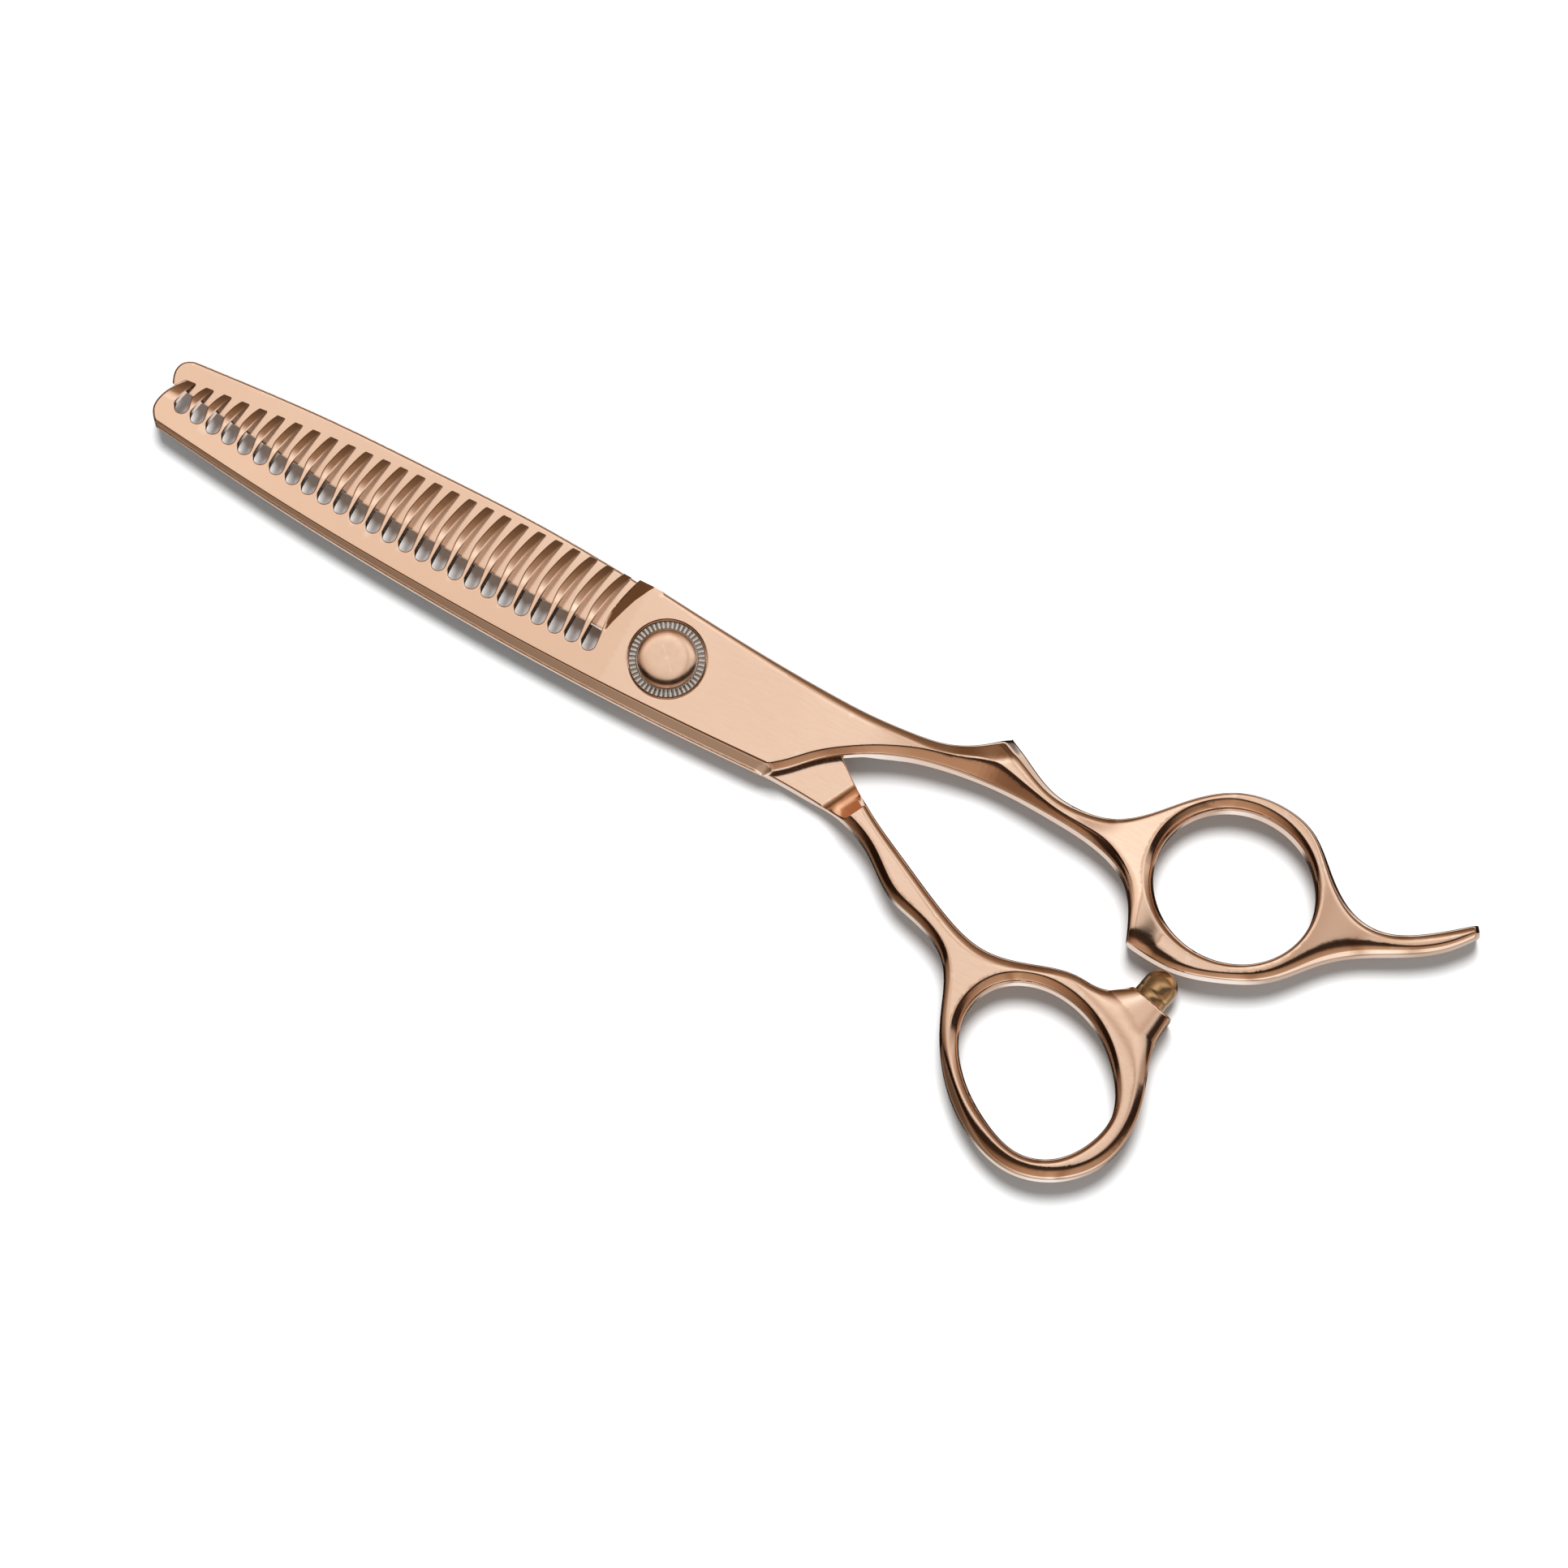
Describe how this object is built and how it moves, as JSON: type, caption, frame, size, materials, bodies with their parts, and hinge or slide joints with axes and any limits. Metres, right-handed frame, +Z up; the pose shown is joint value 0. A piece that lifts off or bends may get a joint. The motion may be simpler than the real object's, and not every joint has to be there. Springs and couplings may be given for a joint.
{
  "type": "hair thinning shears",
  "caption": "Offset-handle thinning shears: a toothed blade pivoting on a plain blade, ball-bearing tension dial, finger ring with tang, thumb ring and closing bumper.",
  "frame": {"origin": "on the pivot axis, in the plane the shears lie on (underside of the plain half and of the bolt head)", "axes": "+X along the blades from the tips to the handles, +Y towards the back of the plain blade and the finger ring, +Z up through the tension dial"},
  "size_m": [0.1711, 0.0542, 0.0076],
  "materials": {
    "rose_gold_steel": "rose-gold coated stainless steel, satin on the flats and polished on bevels and handles",
    "bearing_steel": "bare hardened steel",
    "dial_steel": "bare steel with radial grooves",
    "bronze_bush": "plain bearing bronze",
    "low_friction_washer": "smooth low-friction plastic",
    "amber_bumper": "glossy amber-brown elastomer"
  },
  "bodies": {
    "comb_side": {"comb_half": "rose_gold_steel", "pivot_bushing": "bronze_bush", "lower_race": "bearing_steel"},
    "thumb_side": {"thumb_half": "rose_gold_steel", "pivot_bolt": "rose_gold_steel", "glide_washer": "low_friction_washer", "upper_race": "bearing_steel", "click_spring": "bearing_steel", "bumper_tip": "amber_bumper", "bumper_stud": "bearing_steel"},
    "dial": {"tension_dial": "dial_steel", "screw_cap": "rose_gold_steel"},
    "bearing": {"ball_cage": "bronze_bush", "bearing_balls": "bearing_steel"}
  },
  "joints": [
    {"name": "blade_pivot", "type": "hinge", "parent": "comb_side", "child": "thumb_side", "pos_m": [0, 0, 0], "axis": [0, 0, -1], "range_deg": [0, 80]},
    {"name": "tension_dial_turn", "type": "hinge", "parent": "thumb_side", "child": "dial", "pos_m": [0, 0, 0.006], "axis": [0, 0, 1], "range_deg": [-180, 180]},
    {"name": "ball_cage_turn", "type": "hinge", "parent": "comb_side", "child": "bearing", "pos_m": [0, 0, 0.005], "axis": [0, 0, -1], "range_deg": [0, 40]}
  ],
  "couplings": [
    {"joint": "ball_cage_turn", "follows": "blade_pivot", "ratio": 0.5}
  ]
}
